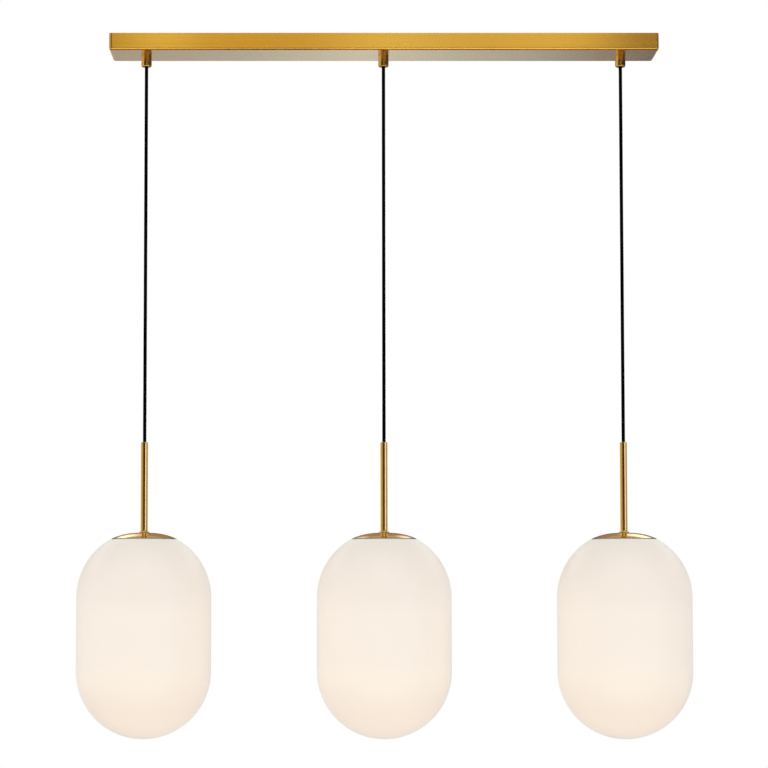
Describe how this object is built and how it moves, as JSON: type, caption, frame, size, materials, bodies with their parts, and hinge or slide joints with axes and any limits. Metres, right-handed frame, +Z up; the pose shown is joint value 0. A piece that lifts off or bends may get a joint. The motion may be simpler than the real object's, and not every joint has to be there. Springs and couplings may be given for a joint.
{
  "type": "linear island pendant",
  "caption": "Ceiling light with opal glass capsule shades hung in a row on cords and slim brass stems from one long brass canopy box.",
  "frame": {"origin": "middle of the canopy's ceiling face, where its bracket meets the ceiling", "axes": "+Z up to the ceiling, +X along the canopy, -Y towards the viewer of the picture"},
  "size_m": [0.891, 0.195, 1.0235],
  "materials": {
    "brushed_brass": "fine lengthwise brush lines, satin",
    "polished_brass": "turned and polished",
    "plain_brass": "plain machined",
    "zinc_steel": "zinc plated",
    "black_rubber": "matte",
    "white_moulding": "moulded, satin",
    "black_cord": "braided textile sheath",
    "brown_wire": "wire insulation",
    "blue_wire": "wire insulation",
    "green_wire": "wire insulation",
    "clear_silicone": "soft, translucent",
    "opal_glass": "opal white, smooth satin gloss",
    "bulb_metal": "nickel plated screw base",
    "bulb_diffuser": "frosted"
  },
  "bodies": {
    "canopy": {"canopy_shell": "brushed_brass", "mounting_bracket": "zinc_steel", "weld_nuts": "zinc_steel", "grub_screws": "zinc_steel", "cable_bush": "black_rubber", "terminal_block": "white_moulding", "terminal_clamps": "plain_brass", "earth_screw": "plain_brass", "cord_tails": "black_cord", "wires_live": "brown_wire", "wires_neutral": "blue_wire", "wires_earth": "green_wire", "grip_washers": "zinc_steel", "grip_nuts": "plain_brass", "grip_set_screws": "polished_brass", "cord_grip_left": "polished_brass", "cord_grip_middle": "polished_brass", "cord_grip_right": "polished_brass"},
    "bend_left": {"cord_bend_left": "black_cord"},
    "hanger_left": {"cord_left": "black_cord", "stem_left": "polished_brass", "stem_bush_left": "plain_brass", "stem_collar_left": "polished_brass", "cap_left": "polished_brass", "gallery_left": "zinc_steel", "lock_nut_left": "plain_brass", "lampholder_left": "white_moulding", "screw_shell_left": "plain_brass"},
    "seal_left": {"gasket_left": "clear_silicone"},
    "glass_left": {"shade_left": "opal_glass"},
    "bulb_left": {"bulb_base_left": "bulb_metal", "bulb_globe_left": "bulb_diffuser"},
    "bend_middle": {"cord_bend_middle": "black_cord"},
    "hanger_middle": {"cord_middle": "black_cord", "stem_middle": "polished_brass", "stem_bush_middle": "plain_brass", "stem_collar_middle": "polished_brass", "cap_middle": "polished_brass", "gallery_middle": "zinc_steel", "lock_nut_middle": "plain_brass", "lampholder_middle": "white_moulding", "screw_shell_middle": "plain_brass"},
    "seal_middle": {"gasket_middle": "clear_silicone"},
    "glass_middle": {"shade_middle": "opal_glass"},
    "bulb_middle": {"bulb_base_middle": "bulb_metal", "bulb_globe_middle": "bulb_diffuser"},
    "bend_right": {"cord_bend_right": "black_cord"},
    "hanger_right": {"cord_right": "black_cord", "stem_right": "polished_brass", "stem_bush_right": "plain_brass", "stem_collar_right": "polished_brass", "cap_right": "polished_brass", "gallery_right": "zinc_steel", "lock_nut_right": "plain_brass", "lampholder_right": "white_moulding", "screw_shell_right": "plain_brass"},
    "seal_right": {"gasket_right": "clear_silicone"},
    "glass_right": {"shade_right": "opal_glass"},
    "bulb_right": {"bulb_base_right": "bulb_metal", "bulb_globe_right": "bulb_diffuser"}
  },
  "joints": [
    {"name": "swing_front_left", "type": "hinge", "parent": "canopy", "child": "bend_left", "pos_m": [-0.348, 0, -0.042], "axis": [1, 0, 0], "range_deg": [-25, 25]},
    {"name": "swing_side_left", "type": "hinge", "parent": "bend_left", "child": "hanger_left", "pos_m": [-0.348, 0, -0.042], "axis": [0, -1, 0], "range_deg": [-25, 9]},
    {"name": "shade_drop_left", "type": "slide", "parent": "hanger_left", "child": "seal_left", "axis": [0, 0, -1], "range_m": [0, 0.15]},
    {"name": "shade_turn_left", "type": "hinge", "parent": "seal_left", "child": "glass_left", "pos_m": [-0.348, 0, -0.745], "axis": [0, 0, -1], "range_deg": [0, 720]},
    {"name": "bulb_out_left", "type": "slide", "parent": "hanger_left", "child": "bulb_left", "axis": [0, 0, -1], "range_m": [0, 0.03]},
    {"name": "swing_front_middle", "type": "hinge", "parent": "canopy", "child": "bend_middle", "pos_m": [0, 0, -0.042], "axis": [1, 0, 0], "range_deg": [-25, 25]},
    {"name": "swing_side_middle", "type": "hinge", "parent": "bend_middle", "child": "hanger_middle", "pos_m": [0, 0, -0.042], "axis": [0, -1, 0], "range_deg": [-9, 9]},
    {"name": "shade_drop_middle", "type": "slide", "parent": "hanger_middle", "child": "seal_middle", "axis": [0, 0, -1], "range_m": [0, 0.15]},
    {"name": "shade_turn_middle", "type": "hinge", "parent": "seal_middle", "child": "glass_middle", "pos_m": [0, 0, -0.745], "axis": [0, 0, -1], "range_deg": [0, 720]},
    {"name": "bulb_out_middle", "type": "slide", "parent": "hanger_middle", "child": "bulb_middle", "axis": [0, 0, -1], "range_m": [0, 0.03]},
    {"name": "swing_front_right", "type": "hinge", "parent": "canopy", "child": "bend_right", "pos_m": [0.348, 0, -0.042], "axis": [1, 0, 0], "range_deg": [-25, 25]},
    {"name": "swing_side_right", "type": "hinge", "parent": "bend_right", "child": "hanger_right", "pos_m": [0.348, 0, -0.042], "axis": [0, -1, 0], "range_deg": [-9, 25]},
    {"name": "shade_drop_right", "type": "slide", "parent": "hanger_right", "child": "seal_right", "axis": [0, 0, -1], "range_m": [0, 0.15]},
    {"name": "shade_turn_right", "type": "hinge", "parent": "seal_right", "child": "glass_right", "pos_m": [0.348, 0, -0.745], "axis": [0, 0, -1], "range_deg": [0, 720]},
    {"name": "bulb_out_right", "type": "slide", "parent": "hanger_right", "child": "bulb_right", "axis": [0, 0, -1], "range_m": [0, 0.03]}
  ]
}
